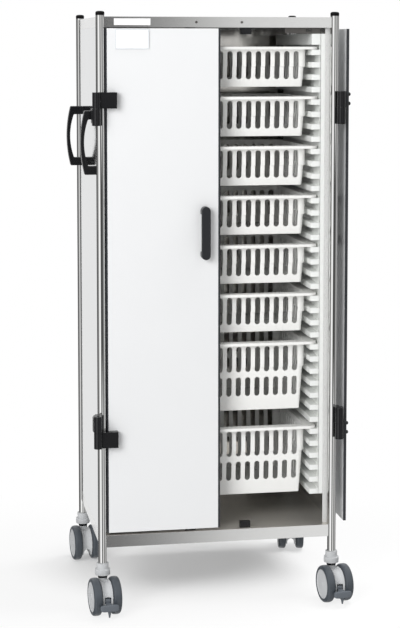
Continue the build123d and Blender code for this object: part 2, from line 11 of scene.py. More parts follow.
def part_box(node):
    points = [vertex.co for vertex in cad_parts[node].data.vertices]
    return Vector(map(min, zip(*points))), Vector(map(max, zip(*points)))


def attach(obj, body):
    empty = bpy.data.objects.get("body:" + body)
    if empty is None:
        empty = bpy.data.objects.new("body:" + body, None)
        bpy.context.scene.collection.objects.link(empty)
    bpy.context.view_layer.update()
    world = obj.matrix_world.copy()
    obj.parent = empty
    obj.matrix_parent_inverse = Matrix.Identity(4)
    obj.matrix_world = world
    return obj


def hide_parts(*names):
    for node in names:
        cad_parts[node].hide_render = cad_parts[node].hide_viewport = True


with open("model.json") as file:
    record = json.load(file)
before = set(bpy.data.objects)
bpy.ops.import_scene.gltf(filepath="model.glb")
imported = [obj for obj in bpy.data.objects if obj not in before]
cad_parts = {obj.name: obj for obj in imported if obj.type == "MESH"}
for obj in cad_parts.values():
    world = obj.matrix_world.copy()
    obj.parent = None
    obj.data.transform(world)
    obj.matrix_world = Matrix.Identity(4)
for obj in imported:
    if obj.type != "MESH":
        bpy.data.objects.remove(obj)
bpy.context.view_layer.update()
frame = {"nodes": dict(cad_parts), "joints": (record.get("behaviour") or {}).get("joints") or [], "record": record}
MM = 0.001
IDENTITY = Matrix.Identity(4)


# ---------------------------------------------------------------- placement
def shift(x, y, z):
    """A placement moved by millimetres."""
    return Matrix.Translation((x * MM, y * MM, z * MM))


def rotation(degrees, axis):
    return Matrix.Rotation(math.radians(degrees), 4, axis)


# ---------------------------------------------------------------- mesh helpers
def add_object(name, bm, sharp_angle=35.0):
    """A linked object from a bmesh, smooth shaded apart from its sharp edges."""
    mesh = bpy.data.meshes.new(name)
    bmesh.ops.recalc_face_normals(bm, faces=bm.faces)
    bm.to_mesh(mesh)
    bm.free()
    for polygon in mesh.polygons:
        polygon.use_smooth = True
    mesh.set_sharp_from_angle(angle=math.radians(sharp_angle))
    obj = bpy.data.objects.new(name, mesh)
    bpy.context.scene.collection.objects.link(obj)
    return obj


def even_normals(obj):
    """Keeps large flat faces flat beside their rounded edges."""
    modifier = obj.modifiers.new("even_normals", "WEIGHTED_NORMAL")
    modifier.keep_sharp = True
    modifier.weight = 100
    return obj


def sharp_edges(bm, degrees):
    """The edges whose two faces turn by more than an angle."""
    limit = math.radians(degrees)
    return [edge for edge in bm.edges if edge.calc_face_angle(0.0) > limit]


def round_edges(bm, edges, width, segments=2, clamp=False):
    """Rounds the edges of a bmesh; the width is in millimetres."""
    bmesh.ops.bevel(
        bm,
        geom=edges,
        offset=width * MM,
        segments=segments,
        profile=0.5,
        affect="EDGES",
        clamp_overlap=clamp,
    )


def finish_piece(obj, body, slot, material, *nodes):
    """Material, body and the CAD nodes that the piece stands for; the record slot argument is not used."""
    obj.data.materials.clear()
    obj.data.materials.append(material)
    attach(obj, body)
    if nodes:
        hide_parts(*nodes)


# ---------------------------------------------------------------- materials
COAT_ROUGHNESS = 0.06
SURFACE_IOR = 1.5
NOISE_MIDDLE = (0.3, 0.7)  # where nearly all values of a noise lie
MOULDED_WEAR = 0.04


class Shader:
    """A Principled material and the few nodes built around it."""

    def __init__(self, name, color, roughness, metallic=0.0, coat=0.0):
        self.material = bpy.data.materials.new(name)
        self.material.use_nodes = True
        self.tree = self.material.node_tree
        self.shader = self.tree.nodes["Principled BSDF"]
        self.color = color
        self.height = None
        self.set("Base Color", (*color, 1.0))
        self.set("Roughness", roughness)
        self.set("Metallic", metallic)
        self.set("Coat Weight", coat)
        self.set("Coat Roughness", COAT_ROUGHNESS)
        self.set("IOR", SURFACE_IOR)

    def set(self, socket, value):
        self.shader.inputs[socket].default_value = value

    def node(self, kind, **values):
        made = self.tree.nodes.new(kind)
        for key, value in values.items():
            setattr(made, key, value)
        return made

    def link(self, source, target):
        self.tree.links.new(source, target)

    def noise(self, scale, stretch=(1, 1, 1), detail=2.0, rough=0.55):
        """Noise in object space; stretch above 1 packs the pattern tighter along that axis."""
        place = self.node("ShaderNodeTexCoord")
        mapping = self.node("ShaderNodeMapping")
        mapping.inputs["Scale"].default_value = stretch
        noise = self.node("ShaderNodeTexNoise")
        noise.inputs["Scale"].default_value = scale
        noise.inputs["Detail"].default_value = detail
        noise.inputs["Roughness"].default_value = rough
        self.link(place.outputs["Object"], mapping.inputs["Vector"])
        self.link(mapping.outputs["Vector"], noise.inputs["Vector"])
        return noise.outputs["Fac"]

    def ranged(self, value, source, target, **values):
        """Maps a value from one (low, high) range onto another."""
        made = self.node("ShaderNodeMapRange", **values)
        made.inputs["From Min"].default_value, made.inputs["From Max"].default_value = source
        made.inputs["To Min"].default_value, made.inputs["To Max"].default_value = target
        self.link(value, made.inputs["Value"])
        return made.outputs["Result"]

    def tint(self, value, dark, light):
        """Base colour between two multiples of the plain colour."""
        mix = self.node("ShaderNodeMix", data_type="RGBA")
        mix.inputs["A"].default_value = (*[c * dark for c in self.color], 1.0)
        mix.inputs["B"].default_value = (*[min(1.0, c * light) for c in self.color], 1.0)
        self.link(self.ranged(value, NOISE_MIDDLE, (0.0, 1.0)), mix.inputs["Factor"])
        self.link(mix.outputs["Result"], self.shader.inputs["Base Color"])

    def vary_roughness(self, value, low, high):
        self.link(self.ranged(value, NOISE_MIDDLE, (low, high)), self.shader.inputs["Roughness"])

    def bump(self, value, depth, strength):
        """Adds a height; later bumps lie on earlier ones. Depth is in metres."""
        bump = self.node("ShaderNodeBump")
        bump.inputs["Strength"].default_value = strength
        bump.inputs["Distance"].default_value = depth
        self.link(value, bump.inputs["Height"])
        if self.height is not None:
            self.link(self.height, bump.inputs["Normal"])
        self.height = bump.outputs["Normal"]
        self.link(self.height, self.shader.inputs["Normal"])


def brushed(name, color, roughness, grain, wear=0.05, waves=0.0, metal=1.0):
    """Ground sheet or tube.

    Grain packs the scratches across their length, wear is how far the roughness strays and
    waves is the depth of slight buckling, in metres.
    """
    made = Shader(name, color, roughness, metallic=metal)
    fine = made.noise(scale=40.0, stretch=grain, detail=4.0, rough=0.7)
    broad = made.noise(scale=3.0)
    made.vary_roughness(fine, roughness - wear, roughness + wear)
    made.tint(broad, dark=0.98, light=1.02)
    made.bump(fine, depth=0.00003, strength=0.2)
    if waves > 0.0:
        made.bump(broad, depth=waves, strength=0.1)
    return made.material


def moulded(name, color, roughness, texture, coat=0.0, specular=0.5, spread=0.02):
    """Plastic or film with a fine grain, texture metres deep, and slow tone changes."""
    made = Shader(name, color, roughness, coat=coat)
    made.set("Specular IOR Level", specular)
    grain = made.noise(scale=900.0)
    broad = made.noise(scale=9.0, detail=3.0)
    made.tint(broad, dark=1.0 - spread, light=1.0 + spread)
    made.vary_roughness(broad, roughness - MOULDED_WEAR, roughness + MOULDED_WEAR)
    made.bump(grain, depth=texture, strength=0.3)
    return made.material


UPRIGHT_GRAIN = (30, 30, 1)
LEVEL_GRAIN = (1, 20, 60)
SHELF_GRAIN = (1, 60, 60)

tube_steel = brushed("tube_steel", (0.90, 0.90, 0.89), 0.045, UPRIGHT_GRAIN, wear=0.02)
sheet_steel = brushed(
    "sheet_steel", (0.86, 0.86, 0.85), 0.13, LEVEL_GRAIN, wear=0.03, waves=0.0004
)
side_steel = brushed(
    "side_steel", (0.775, 0.785, 0.79), 0.06, UPRIGHT_GRAIN, wear=0.02, waves=0.00005
)
jamb_steel = brushed("jamb_steel", (0.84, 0.84, 0.83), 0.30, UPRIGHT_GRAIN, metal=0.4)
# painted shade: a darker, warmer copy of the steel for the back panel's inside
shaded_inner_steel = brushed("shaded_inner_steel", (0.70, 0.68, 0.65), 0.10, UPRIGHT_GRAIN)
# painted shade: a darker, warmer copy of the steel for the shelf inside the cabinet, with its own rougher, less
# metallic finish
shaded_shelf_steel = brushed(
    "shaded_shelf_steel", (0.74, 0.71, 0.66), 0.32, SHELF_GRAIN, wear=0.06, waves=0.0008, metal=0.7
)
bracket_steel = brushed("bracket_steel", (0.22, 0.21, 0.20), 0.35, SHELF_GRAIN)
door_white = moulded(
    "door_white", (0.715, 0.721, 0.728), 0.20, 0.000004, coat=0.2, spread=0.004
)
edge_trim = moulded("edge_trim", (0.022, 0.024, 0.028), 0.30, 0.00001)
black_plastic = moulded("black_plastic", (0.005, 0.005, 0.006), 0.24, 0.00003)
pull_plastic = moulded("pull_plastic", (0.014, 0.015, 0.018), 0.42, 0.00006, specular=0.45)
cap_plastic = moulded("cap_plastic", (0.003, 0.003, 0.003), 0.20, 0.00001, specular=0.15)
basket_plastic = moulded(
    "basket_plastic", (0.82, 0.82, 0.80), 0.30, 0.00001, coat=0.1, spread=0.01
)
liner_plastic = moulded("liner_plastic", (0.80, 0.815, 0.795), 0.36, 0.00002, spread=0.015)
caster_plastic = moulded("caster_plastic", (0.50, 0.51, 0.52), 0.38, 0.00003)
pedal_plastic = moulded("pedal_plastic", (0.105, 0.118, 0.135), 0.42, 0.00006)
tyre_rubber = moulded("tyre_rubber", (0.055, 0.064, 0.075), 0.34, 0.00005)
card_paper = moulded("card_paper", (0.97, 0.97, 0.97), 0.55, 0.00001, spread=0.004)
holder_plastic = moulded("holder_plastic", (0.66, 0.68, 0.70), 0.20, 0.00001, coat=0.3)
plate_film = moulded("plate_film", (0.78, 0.78, 0.78), 0.30, 0.000005, coat=0.2, spread=0.006)

SLOT_MATERIALS = {
    "tube_steel": tube_steel,
    "sheet_steel": sheet_steel,
    "side_steel": side_steel,
    "liner_plastic": liner_plastic,
    "basket_plastic": basket_plastic,
    "door_white": door_white,
    "edge_trim": edge_trim,
    "black_plastic": black_plastic,
    "plate": plate_film,
    "card": card_paper,
    "caster_plastic": caster_plastic,
    "pedal_plastic": pedal_plastic,
    "tyre": tyre_rubber,
}
# pieces whose surface differs a little from the rest of their slot
NODE_MATERIALS = {
    "jambs": jamb_steel,
    "header_brackets": bracket_steel,
    "rail_screws": bracket_steel,
    "label_holder": holder_plastic,
    "post_caps": cap_plastic,
    "door_left_pull": pull_plastic,
    "door_right_pull": pull_plastic,
}
RECORD = frame["record"]
SLOT_OF = {part["node"]: part["material_slot"] for part in RECORD["subparts"]}
BODY_OF = {
    node: body for body, nodes in RECORD["behaviour"]["bodies"].items() for node in nodes
}


def material_of(node):
    return NODE_MATERIALS.get(node, SLOT_MATERIALS[SLOT_OF[node]])


for node_name, node_object in frame["nodes"].items():
    node_object.data.materials.clear()
    node_object.data.materials.append(material_of(node_name))

# ---------------------------------------------------------------- rounded copies
# width of the rounding by node, in millimetres
EDGE = {
    "top_tray": 1.0,
    "bottom_tray": 1.0,
    "side_panel_left": 0.4,
    "side_panel_right": 0.4,
    "back_panel": 0.4,
    "jambs": 0.4,
    "header_brackets": 0.4,
    "hinge_clamps_left": 1.2,
    "hinge_clamps_right": 1.2,
    "name_plate": 0.2,
    "door_catches": 0.8,
    "door_left_panel": 0.8,
    "door_right_panel": 0.8,
    "door_left_trim": 0.6,
    "door_right_trim": 0.6,
    "door_left_leaves": 1.2,
    "door_right_leaves": 1.2,
    "label_holder": 0.4,
}
for number in range(1, 9):
    EDGE[f"basket_{number}"] = 0.7
WELD = 0.00001  # metres between points of a CAD mesh that are the same point
FLAT_ANGLE = 1.0  # degrees below which two faces are one flat face
CORNER_ANGLE = 32.0  # degrees from which an edge is rounded
# sheets whose inner face takes a darker, warmer copy of the steel, painted shade of the cabinet's inside: the
# direction it faces and its material
INSIDE = {
    "back_panel": (Vector((0.0, -1.0, 0.0)), shaded_inner_steel),
    "bottom_tray": (Vector((0.0, 0.0, 1.0)), shaded_shelf_steel),
}
FACING = 0.9  # cosine from which a face counts as facing a direction


def softened(node, width):
    """A copy of a CAD node with rounded edges."""
    bm = bmesh.new()
    bm.from_mesh(frame["nodes"][node].data)
    bmesh.ops.remove_doubles(bm, verts=bm.verts, dist=WELD)
    bmesh.ops.dissolve_limit(
        bm, angle_limit=math.radians(FLAT_ANGLE), verts=bm.verts, edges=bm.edges
    )
    round_edges(bm, sharp_edges(bm, CORNER_ANGLE), width, clamp=True)
    return even_normals(add_object(f"{node}_looks", bm))


def add_inside(piece, direction, material):
    """Gives the faces on one side of a piece their own material."""
    piece.data.materials.append(material)
    for polygon in piece.data.polygons:
        if polygon.normal.dot(direction) > FACING:
            polygon.material_index = 1


for node_name, width in EDGE.items():
    piece = softened(node_name, width)
    finish_piece(
        piece, BODY_OF[node_name], SLOT_OF[node_name], material_of(node_name), node_name
    )
    if node_name in INSIDE:
        add_inside(piece, *INSIDE[node_name])

# ---------------------------------------------------------------- turned pieces
ON_AXIS = 0.001  # a radius below this is a single point on the axis


def turned(profile, steps, closed=False):
    """A bmesh turned around the Z axis from (radius, z) points in millimetres."""
    bm = bmesh.new()
    rings = []
    for radius, z in profile:
        if radius < ON_AXIS:
            rings.append([bm.verts.new((0.0, 0.0, z * MM))])
            continue
        ring = []
        for step in range(steps):
            angle = math.tau * step / steps
            x, y = radius * MM * math.cos(angle), radius * MM * math.sin(angle)
            ring.append(bm.verts.new((x, y, z * MM)))
        rings.append(ring)
    pairs = list(zip(rings, rings[1:]))
    if closed:
        pairs.append((rings[-1], rings[0]))
    for low, high in pairs:
        for step in range(steps):
            after = (step + 1) % steps
            corners = [
                low[step % len(low)],
                low[after % len(low)],
                high[after % len(high)],
                high[step % len(high)],
            ]
            unique = list(dict.fromkeys(corners))
            if len(unique) > 2:
                bm.faces.new(unique)
    return bm


def joined(meshes):
    """One bmesh from several, each with its own placement matrix."""
    whole = bmesh.new()
    for bm, matrix in meshes:
        bm.transform(matrix)
        mesh = bpy.data.meshes.new("part")
        bm.to_mesh(mesh)
        bm.free()
        whole.from_mesh(mesh)
        bpy.data.meshes.remove(mesh)
    return whole


def post_axes():
    """Plan position of the four posts, in metres, by name."""
    low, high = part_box("posts_front")
    back_low, back_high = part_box("posts_back")
    radius = (high.y - low.y) / 2
    front, back = (low.y + high.y) / 2, (back_low.y + back_high.y) / 2
    left, right = low.x + radius, high.x - radius
    return {
        "front_left": (left, front),
        "front_right": (right, front),
        "back_left": (left, back),
        "back_right": (right, back),
    }


POST_AXES = post_axes()
POST_LOW, POST_HIGH = (corner.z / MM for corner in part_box("posts_front"))
CAP_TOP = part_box("post_caps")[1].z / MM
COLLAR_LOW, COLLAR_HIGH = (corner.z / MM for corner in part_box("caster_collars"))
JOINTS = {joint["name"]: joint for joint in frame["joints"]}

# outlines of the turned pieces: (radius, height) in millimetres
TUBE = [(12.5, POST_LOW), (12.5, POST_HIGH)]
CAP = [
    (12.3, POST_HIGH - 4.0),
    (12.9, POST_HIGH),
    (12.9, CAP_TOP - 5.2),
    (12.3, CAP_TOP - 3.0),
    (10.4, CAP_TOP - 1.2),
    (6.5, CAP_TOP - 0.2),
    (0.0, CAP_TOP),
]
COLLAR = [
    (12.6, COLLAR_HIGH - 2.0),
    (13.5, COLLAR_HIGH - 0.3),
    (17.0, COLLAR_HIGH),
    (17.6, COLLAR_HIGH - 0.8),
    (17.3, COLLAR_LOW + 17.8),
    (18.0, COLLAR_LOW + 17.0),
    (21.2, COLLAR_LOW + 16.6),
    (22.0, COLLAR_LOW + 15.4),
    (22.0, COLLAR_LOW + 6.8),
    (21.1, COLLAR_LOW + 6.2),
    (21.1, COLLAR_LOW + 5.2),
    (22.0, COLLAR_LOW + 4.6),
    (22.0, COLLAR_LOW + 1.2),
    (21.2, COLLAR_LOW),
    (8.0, COLLAR_LOW),
]


def at_posts(profile, steps, names):
    """One turned piece on each of the named posts, as one bmesh."""
    places = [Matrix.Translation((*POST_AXES[name], 0.0)) for name in names]
    return joined([(turned(profile, steps), place) for place in places])


for pair in ("front", "back"):
    tubes = at_posts(TUBE, steps=72, names=(f"{pair}_left", f"{pair}_right"))
    piece = add_object(f"tubes_{pair}", tubes)
    finish_piece(piece, "cabinet", "tube_steel", tube_steel, f"posts_{pair}")
piece = add_object("caps", at_posts(CAP, steps=48, names=POST_AXES), sharp_angle=50)
finish_piece(piece, "cabinet", "black_plastic", cap_plastic, "post_caps")
piece = add_object("collars", at_posts(COLLAR, steps=64, names=POST_AXES), sharp_angle=30)
finish_piece(piece, "cabinet", "caster_plastic", caster_plastic, "caster_collars")

# ---------------------------------------------------------------- casters
# sizes in millimetres, in the caster's own frame (see caster_frame)
WHEEL_RADIUS = 54.0
TRAIL = 28.0  # from the swivel axis to the axle
WHEEL_OFFSET = 28.5  # from the middle of the caster to the middle of a wheel
TYRE = [
    (42.5, -11.9),
    (43.9, -12.5),
    (47.4, -12.4),
    (50.4, -11.4),
    (52.5, -9.5),
    (53.6, -6.4),
    (54.0, -2.4),
    (54.0, 2.4),
    (53.6, 6.4),
    (52.5, 9.5),
    (50.4, 11.4),
    (47.4, 12.4),
    (43.9, 12.5),
    (42.5, 11.9),
]
DISC = [
    (0.0, 12.4),
    (6.0, 12.3),
    (8.0, 11.8),
    (8.4, 10.9),
    (9.4, 10.7),
    (26.5, 10.5),
    (36.0, 10.0),
    (38.2, 10.2),
    (39.2, 11.5),
    (41.5, 11.8),
    (42.5, 11.5),
    (42.5, -11.5),
    (38.0, -11.5),
    (36.0, -9.6),
    (11.5, -9.6),
    (9.5, -11.5),
    (0.0, -11.5),
]
DRUM = [
    (0.0, -15.0),
    (46.5, -15.0),
    (45.5, -12.5),
    (41.0, -8.0),
    (38.5, 0.0),
    (41.0, 8.0),
    (45.5, 12.5),
    (46.5, 15.0),
    (0.0, 15.0),
]
NECK = [(0.0, 56.0), (13.0, 56.0), (13.0, 94.0), (13.6, 103.0), (14.6, 109.0), (0.0, 109.0)]
SHADE_PAINT_LOW = 101.0  # painted shade: the neck is black above this height, standing in for the shade in the recess under the collar
# what is cut from the fork: an arch along Y, the room under it, all that hangs lower than
# 20 mm and, on a braked caster, the slot of the pedal
ARCH = [(0.0, -70.0), (11.5, -70.0), (11.5, 70.0), (0.0, 70.0)]
ARCH_PLACE = shift(0.0, -TRAIL, 29.0) @ rotation(90, "X")
ARCH_ROOM = ((-11.5, 11.5), (-110, 60), (-5, 29))
LOW_ROOM = ((-30, 30), (-110, 60), (-20, 20))
PEDAL_SLOT = ((-9, 9), (-100, -51), (10, 61))
SLOT_WALLS = ((-9.2, 9.2), (-101, -50.5), (12, 61.5))  # where the middles of its faces lie; these faces are painted black as the shade inside the slot
AXLE_PLACE = shift(0.0, -TRAIL, WHEEL_RADIUS) @ rotation(90, "Y")
# the pedal: half sizes of its tread bar and arm, outline of its eye and box of its tongue
TREAD_HALF = (27.0, 6.8, 10.0)
TREAD_PLACE = shift(0.0, -92.0, 38.0) @ rotation(-8, "X")
ARM_HALF = (7.6, 15.0, 5.0)
ARM_PLACE = shift(0.0, -76.0, 43.0)
EYE = [(0.0, -8.0), (7.4, -8.0), (8.0, -7.4), (8.0, 7.4), (7.4, 8.0), (0.0, 8.0)]
EYE_PLACE = shift(0.0, -62.0, 50.0) @ rotation(90, "Y")
TONGUE = ((-6, 6), (-93, -84), (9, 36))
TONGUE_TIP = 0.3  # size of the tongue's lower end, as a share of its upper end
TONGUE_ROUNDING = 0.8


def caster_frame(name):
    """A caster's own frame: X along the axle, -Y towards the pedal, origin on the floor."""
    x, y = POST_AXES[name]
    axle = JOINTS[f"wheels_{name}"]["axis"]
    turn = Matrix.Rotation(math.atan2(axle[1], axle[0]), 4, "Z")
    return Matrix.Translation((x, y, 0.0)) @ turn


def wheel_places(name):
    """Placement of the left and right wheel, each with its outer side along its own +Z."""
    places = []
    for side in (-1, 1):
        hub = caster_frame(name) @ shift(side * WHEEL_OFFSET, -TRAIL, WHEEL_RADIUS)
        places.append(hub @ rotation(side * 90, "Y"))
    return places


def block_mesh(x, y, z):
    """A box between the low and high values of each axis, in millimetres."""
    bm = bmesh.new()
    bmesh.ops.create_cube(bm, size=1.0)
    size = [(high - low) * MM for low, high in (x, y, z)]
    middle = [(high + low) / 2 * MM for low, high in (x, y, z)]
    bm.transform(Matrix.Translation(middle) @ Matrix.Diagonal((*size, 1.0)))
    return bm


def rounded_lump(half_sizes, squareness, steps):
    """A pillow-like block with soft corners: a superellipsoid, in millimetres."""

    def power(value):
        return math.copysign(abs(value) ** squareness, value)

    half_x, half_y, half_z = half_sizes
    bm = bmesh.new()
    rows = []
    for row in range(1, steps):
        polar = math.pi * row / steps - math.pi / 2
        ring = []
        for step in range(2 * steps):
            turn = math.pi * step / steps
            x = half_x * power(math.sin(polar))
            y = half_y * power(math.cos(polar)) * power(math.cos(turn))
            z = half_z * power(math.cos(polar)) * power(math.sin(turn))
            ring.append(bm.verts.new((x * MM, y * MM, z * MM)))
        rows.append(ring)
    for low, high in zip(rows, rows[1:]):
        for step in range(2 * steps):
            after = (step + 1) % (2 * steps)
            bm.faces.new((low[step], low[after], high[after], high[step]))
    for ring in (rows[0], rows[-1]):
        bm.faces.new(ring)
    return bm


def evaluated(obj):
    """The object's mesh with its modifiers applied, as a bmesh; the object is removed."""
    depsgraph = bpy.context.evaluated_depsgraph_get()
    mesh = bpy.data.meshes.new_from_object(obj.evaluated_get(depsgraph))
    bpy.data.objects.remove(obj)
    bm = bmesh.new()
    bm.from_mesh(mesh)
    bpy.data.meshes.remove(mesh)
    return bm


def cut(bm, cutters, operation="DIFFERENCE"):
    """The bmesh less each cutter in turn, or what it shares with them."""
    body = add_object("cut_body", bm)
    tools = []
    for number, cutter in enumerate(cutters):
        tool = add_object(f"cutter_{number}", cutter)
        modifier = body.modifiers.new("cut", "BOOLEAN")
        modifier.object = tool
        modifier.operation = operation
        modifier.solver = "EXACT"
        tools.append(tool)
    result = evaluated(body)
    for tool in tools:
        bpy.data.objects.remove(tool)
    return result


def melted(bm, voxel, rounds):
    """The bmesh remeshed and smoothed, so that its parts flow together like one moulding."""
    body = add_object("melt_body", bm)
    remesh = body.modifiers.new("remesh", "REMESH")
    remesh.mode = "VOXEL"
    remesh.voxel_size = voxel * MM
    smooth = body.modifiers.new("smooth", "SMOOTH")
    smooth.factor = 0.8
    smooth.iterations = rounds
    return evaluated(body)


def housing_mesh(braked):
    """The moulded fork: a waisted drum between the wheels that runs up into a round neck."""
    parts = joined([(turned(DRUM, steps=72), AXLE_PLACE), (turned(NECK, steps=48), IDENTITY)])
    arch = turned(ARCH, steps=40)
    arch.transform(ARCH_PLACE)
    cutters = [arch, block_mesh(*ARCH_ROOM), block_mesh(*LOW_ROOM)]
    if braked:
        cutters.append(block_mesh(*PEDAL_SLOT))
    return cut(melted(parts, voxel=1.5, rounds=6), cutters)


def shade_painted_faces(bm, braked):
    """Faces painted black as shade: the neck's top in the recess under the collar and, on a braked caster, the
    walls of the pedal's slot.
    """
    dark = []
    for number, face in enumerate(bm.faces):
        middle = face.calc_center_median() / MM
        in_slot = all(low < value < high for value, (low, high) in zip(middle, SLOT_WALLS))
        if (braked and in_slot) or middle.z > SHADE_PAINT_LOW:
            dark.append(number)
    return dark


def pedal_mesh():
    """A rounded tread bar on a short arm, with a small tongue under it."""
    tongue = block_mesh(*TONGUE)
    middle = sum(TONGUE[1]) / 2 * MM
    for vert in sorted(tongue.verts, key=lambda vert: vert.co.z)[:4]:
        vert.co.x *= TONGUE_TIP
        vert.co.y = middle + (vert.co.y - middle) * TONGUE_TIP
    round_edges(tongue, tongue.edges[:], TONGUE_ROUNDING)
    return joined(
        [
            (rounded_lump(TREAD_HALF, squareness=0.5, steps=32), TREAD_PLACE),
            (rounded_lump(ARM_HALF, squareness=0.25, steps=20), ARM_PLACE),
            (turned(EYE, steps=40), EYE_PLACE),
            (tongue, IDENTITY),
        ]
    )


for name in POST_AXES:
    braked = f"pedal_{name}" in BODY_OF.values()
    body = housing_mesh(braked)
    dark = shade_painted_faces(body, braked)
    body.transform(caster_frame(name))
    piece = add_object(f"fork_{name}", body, sharp_angle=40)
    finish_piece(
        piece, f"caster_{name}", "caster_plastic", caster_plastic, f"caster_{name}_housing"
    )
    # painted shade: black plastic on the neck under the collar and in the pedal's slot, where the fork lies in
    # shade
    piece.data.materials.append(black_plastic)
    for number in dark:
        piece.data.polygons[number].material_index = 1
    tyres = [(turned(TYRE, steps=96, closed=True), place) for place in wheel_places(name)]
    piece = add_object(f"tyres_{name}", joined(tyres), sharp_angle=50)
    finish_piece(piece, f"wheels_{name}", "tyre", tyre_rubber, f"caster_{name}_tyres")
    discs = [(turned(DISC, steps=72), place) for place in wheel_places(name)]
    piece = add_object(f"discs_{name}", joined(discs), sharp_angle=40)
    finish_piece(
        piece, f"wheels_{name}", "caster_plastic", caster_plastic, f"caster_{name}_discs"
    )
for name in ("front_left", "front_right"):
    body = pedal_mesh()
    body.transform(caster_frame(name))
    piece = add_object(f"tread_{name}", body, sharp_angle=40)
    finish_piece(piece, f"pedal_{name}", "pedal_plastic", pedal_plastic, f"pedal_{name}")

# ---------------------------------------------------------------- liners
# sizes in millimetres
RIB_PITCH = 36.0
RIB_HEIGHT = 16.0
RIB_COUNT = 37
RIB_ROOT = 0.5  # how far ribs and head reach into the wall
FIRST_GAP = 14.0  # between the head and the first rib
LINER_HEAD = 32.0
LINER_WALL = 3.0
LINER_UPRIGHT = 14.5
LINER_ROUNDING = 1.2


def soft_block(x, y, z):
    """A box with the liner's rounded edges."""
    bm = block_mesh(x, y, z)
    round_edges(bm, bm.edges[:], LINER_ROUNDING)
    return bm


def liner_mesh(node, side):
    """Wall, front upright, head and ribs of one liner; side is -1 on the left."""
    low, high = (Vector(corner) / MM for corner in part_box(node))
    outer, tip = (low.x, high.x) if side < 0 else (high.x, low.x)
    wall = outer - side * LINER_UPRIGHT
    depth = (low.y, high.y)
    across = sorted((wall + side * RIB_ROOT, tip))
    blocks = [
        (sorted((wall + side * LINER_WALL, wall)), depth, (low.z, high.z)),
        (sorted((outer, wall)), (low.y, low.y + LINER_WALL), (low.z, high.z)),
        (across, depth, (high.z - LINER_HEAD, high.z)),
    ]
    first = high.z - LINER_HEAD - FIRST_GAP
    for number in range(RIB_COUNT):
        top = first - number * RIB_PITCH
        blocks.append((across, depth, (top - RIB_HEIGHT, top)))
    return joined([(soft_block(*block), IDENTITY) for block in blocks])


for node_name, side in (("liner_left", -1), ("liner_right", 1)):
    piece = even_normals(add_object(f"{node_name}_looks", liner_mesh(node_name, side)))
    finish_piece(piece, "cabinet", "liner_plastic", liner_plastic, node_name)

# ---------------------------------------------------------------- handles
# sizes of the D-handles in millimetres; the grip bulges by the belly in its middle
PUSH_HANDLE = {
    "reach": 38.5,
    "belly": 11.5,
    "grip": 10.0,
    "arm": 25.0,
    "height": 182.0,
    "width": 22.0,
}
PUSH_ROUNDING = 2.6
PUSH_CORNER = 25.0  # edges that turn by more degrees than this are rounded
DOOR_PULL = {
    "reach": 26.8,
    "belly": 0.6,
    "grip": 10.5,
    "arm": 23.0,
    "height": 153.5,
    "width": 26.0,
}
PULL_DEPTH = (-30.0, 1.0)  # range of x that the shape with round ends covers
BOW_STEPS = 24


def bow_mesh(reach, belly, grip, arm, height, width):
    """A D-handle with its feet on the plane x = 0, reaching along -X and standing along Z."""
    half = height / 2
    mouth = half - arm
    outline = [((0.0, -half), (0.0, -mouth))]
    for step in range(BOW_STEPS + 1):
        share = 2 * step / BOW_STEPS - 1
        bulge = belly * (1 - share * share)
        outline.append(((-reach - bulge, share * half), (grip - reach - bulge, share * mouth)))
    outline.append(((0.0, half), (0.0, mouth)))
    bm = bmesh.new()
    rows = []
    for outside, inside in outline:
        corners = ((outside, -1), (inside, -1), (inside, 1), (outside, 1))
        rows.append(
            [bm.verts.new((x * MM, side * width / 2 * MM, z * MM)) for (x, z), side in corners]
        )
    for low, high in zip(rows, rows[1:]):
        for corner in range(4):
            after = (corner + 1) % 4
            bm.faces.new((low[corner], low[after], high[after], high[corner]))
    bm.faces.new(rows[0])
    bm.faces.new(rows[-1])
    return bm


def push_handle_mesh():
    """A push handle with its sharp edges rounded."""
    bm = bow_mesh(**PUSH_HANDLE)
    bmesh.ops.recalc_face_normals(bm, faces=bm.faces)
    round_edges(bm, sharp_edges(bm, PUSH_CORNER), PUSH_ROUNDING, segments=3)
    return bm


def pull_mesh():
    """The moulded door pull, with round ends; feet on the plane x = 0."""
    radius = DOOR_PULL["width"] / 2
    end = DOOR_PULL["height"] / 2 - radius
    near, far = PULL_DEPTH
    round_end = [(0.0, near), (radius, near), (radius, far), (0.0, far)]
    parts = [(block_mesh(PULL_DEPTH, (-radius, radius), (-end, end)), IDENTITY)]
    for z in (-end, end):
        parts.append((turned(round_end, steps=48), shift(0.0, 0.0, z) @ rotation(90, "Y")))
    outline = melted(joined(parts), voxel=1.0, rounds=0)
    return melted(cut(bow_mesh(**DOOR_PULL), [outline], "INTERSECT"), voxel=0.9, rounds=9)


for node_name in ("push_handle_front", "push_handle_back"):
    low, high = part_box(node_name)
    body = push_handle_mesh()
    body.transform(Matrix.Translation((high.x, (low.y + high.y) / 2, (low.z + high.z) / 2)))
    piece = even_normals(add_object(f"{node_name}_looks", body))
    finish_piece(piece, "cabinet", "black_plastic", black_plastic, node_name)

for body_name, turn in (("door_left", 90), ("door_right", 0)):
    node_name = f"{body_name}_pull"
    low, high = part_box(node_name)
    middle = (low + high) / 2
    foot = (middle.x, high.y, middle.z) if turn == 90 else (high.x, middle.y, middle.z)
    body = pull_mesh()
    body.transform(Matrix.Translation(foot) @ rotation(turn, "Z"))
    piece = add_object(f"{node_name}_looks", body, sharp_angle=60)
    finish_piece(piece, body_name, "black_plastic", pull_plastic, node_name)

# ---------------------------------------------------------------- floor
FLOOR_RADIUS = 30.0
# the oval in which the floor's painted glow is thinned so that the cart's shadow shows: its centre and size in
# metres
SHADOW_CENTRE = (-0.05, 0.20, 0.0)
SHADOW_SIZE = (0.55, 0.42, 1.0)
